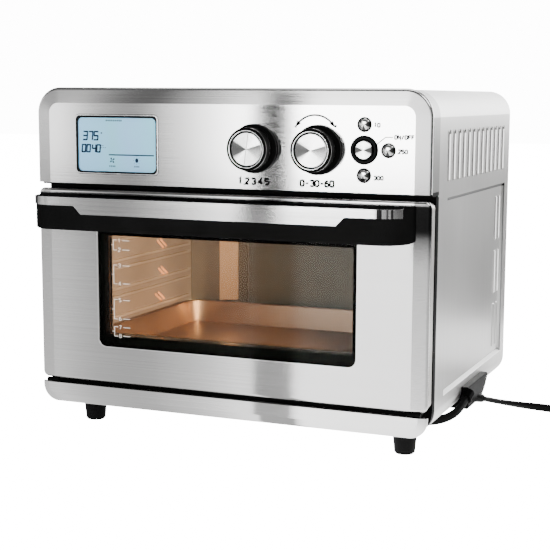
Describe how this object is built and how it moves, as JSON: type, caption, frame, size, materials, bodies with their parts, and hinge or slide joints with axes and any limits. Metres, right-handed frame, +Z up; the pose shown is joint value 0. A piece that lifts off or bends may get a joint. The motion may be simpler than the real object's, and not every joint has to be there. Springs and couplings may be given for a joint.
{
  "type": "toaster oven",
  "caption": "Countertop toaster oven with a drop-down glass door and bar handle, a display, turning knobs and push buttons, a fan-blown chamber with a tray, and a power cord.",
  "frame": {"origin": "bottom centre of the oven without its cord, on the surface that the feet stand on", "axes": "+X to the oven's right seen from the front, +Y to its rear, +Z up; the door and controls face -Y"},
  "size_m": [0.5778, 0.414, 0.338],
  "materials": {
    "front_steel": "brushed",
    "cabinet_steel": "satin",
    "plated_steel": "matte",
    "chamber_steel": "satin",
    "tray_steel": "satin",
    "crumb_sheet": "satin",
    "rod_steel": "matte",
    "hardware_steel": "zinc plated",
    "ceramic": "matte",
    "insulation": "fibrous",
    "housing_black": "fine texture",
    "handle_black": "satin",
    "gloss_black": "gloss",
    "knob_metal": "dark anodised",
    "knob_face": "spun",
    "button_chrome": "polished",
    "door_glass": "clear",
    "lamp_glass": "clear",
    "display_glass": "clear",
    "display_panel": "lit",
    "silicone": "matte",
    "circuit_board": "satin",
    "switch_plastic": "matte",
    "fan_metal": "stamped",
    "motor_steel": "laminated",
    "foot_rubber": "matte",
    "cord_jacket": "satin",
    "cord_fitting": "satin"
  },
  "bodies": {
    "cabinet": {"control_fascia": "front_steel", "lower_trim": "front_steel", "cabinet_wrap": "cabinet_steel", "rear_cover": "plated_steel", "base_pan": "plated_steel", "cavity_liner": "chamber_steel", "front_frame": "chamber_steel", "fan_housing": "chamber_steel", "fan_guard": "chamber_steel", "heating_rods": "rod_steel", "temperature_probe": "rod_steel", "rear_cover_screws": "hardware_steel", "hinge_brackets": "hardware_steel", "rod_holders": "ceramic", "oven_lamp": "ceramic", "insulation_pads": "insulation", "control_housing": "cabinet_steel", "fascia_carrier": "housing_black", "display_bezel": "gloss_black", "start_ring": "gloss_black", "lamp_cover": "lamp_glass", "display_lens": "display_glass", "display_module": "display_panel", "control_board": "circuit_board", "power_board": "circuit_board", "knob_encoders": "switch_plastic", "push_switches": "switch_plastic", "fan_motor": "motor_steel", "feet": "foot_rubber", "lead_cord": "cord_jacket", "power_cord": "cord_jacket", "cord_coil": "cord_jacket", "cord_anchor": "cord_fitting", "cord_bushing": "cord_fitting", "power_plug": "cord_fitting", "cord_tie": "cord_fitting"},
    "door": {"door_panel": "front_steel", "door_core": "housing_black", "outer_glass": "door_glass", "window_frame": "gloss_black", "door_inner_panel": "chamber_steel", "inner_glass": "door_glass", "door_seal": "silicone", "handle_bar": "handle_black", "handle_strip": "front_steel", "handle_screws": "hardware_steel", "hinge_leaves": "hardware_steel"},
    "function_dial": {"function_knob": "knob_metal", "function_knob_cap": "knob_face"},
    "temperature_dial": {"temperature_knob": "knob_metal", "temperature_knob_cap": "knob_face"},
    "light_push": {"light_button": "button_chrome"},
    "temp_time_push": {"temp_time_button": "button_chrome"},
    "preheat_push": {"preheat_button": "button_chrome"},
    "start_push": {"start_button": "button_chrome"},
    "fan": {"convection_fan": "fan_metal", "cooling_fan": "fan_metal", "fan_shaft": "hardware_steel"},
    "baking_tray": {"baking_tray": "tray_steel"},
    "crumb_tray": {"crumb_tray": "crumb_sheet"}
  },
  "joints": [
    {"name": "door_hinge", "type": "hinge", "parent": "cabinet", "child": "door", "pos_m": [0, -0.1335, 0.0486], "axis": [1, 0, 0], "range_deg": [0, 90], "stiffness_Nm_per_rad": 0.6, "springref_deg": -51.57},
    {"name": "function_turn", "type": "hinge", "parent": "cabinet", "child": "function_dial", "pos_m": [0.033, -0.132, 0.2833], "axis": [0, 1, 0], "continuous": true},
    {"name": "temperature_turn", "type": "hinge", "parent": "cabinet", "child": "temperature_dial", "pos_m": [0.095, -0.132, 0.2833], "axis": [0, 1, 0], "continuous": true},
    {"name": "light_press", "type": "slide", "parent": "cabinet", "child": "light_push", "axis": [0, 1, 0], "range_m": [0, 0.0015], "stiffness_N_per_m": 300},
    {"name": "temp_time_press", "type": "slide", "parent": "cabinet", "child": "temp_time_push", "axis": [0, 1, 0], "range_m": [0, 0.0015], "stiffness_N_per_m": 300},
    {"name": "preheat_press", "type": "slide", "parent": "cabinet", "child": "preheat_push", "axis": [0, 1, 0], "range_m": [0, 0.0015], "stiffness_N_per_m": 300},
    {"name": "start_press", "type": "slide", "parent": "cabinet", "child": "start_push", "axis": [0, 1, 0], "range_m": [0, 0.0015], "stiffness_N_per_m": 300},
    {"name": "fan_spin", "type": "hinge", "parent": "cabinet", "child": "fan", "pos_m": [0, 0.026, 0.25], "axis": [0, 0, 1], "continuous": true},
    {"name": "baking_tray_slide", "type": "slide", "parent": "cabinet", "child": "baking_tray", "axis": [0, -1, 0], "range_m": [0, 0.022]},
    {"name": "crumb_tray_slide", "type": "slide", "parent": "cabinet", "child": "crumb_tray", "axis": [0, -1, 0], "range_m": [0, 0.016]}
  ],
  "couplings": [
    {"joint": "baking_tray_slide", "follows": "door_hinge", "m_per_rad": 0.014},
    {"joint": "crumb_tray_slide", "follows": "door_hinge", "m_per_rad": 0.01}
  ]
}
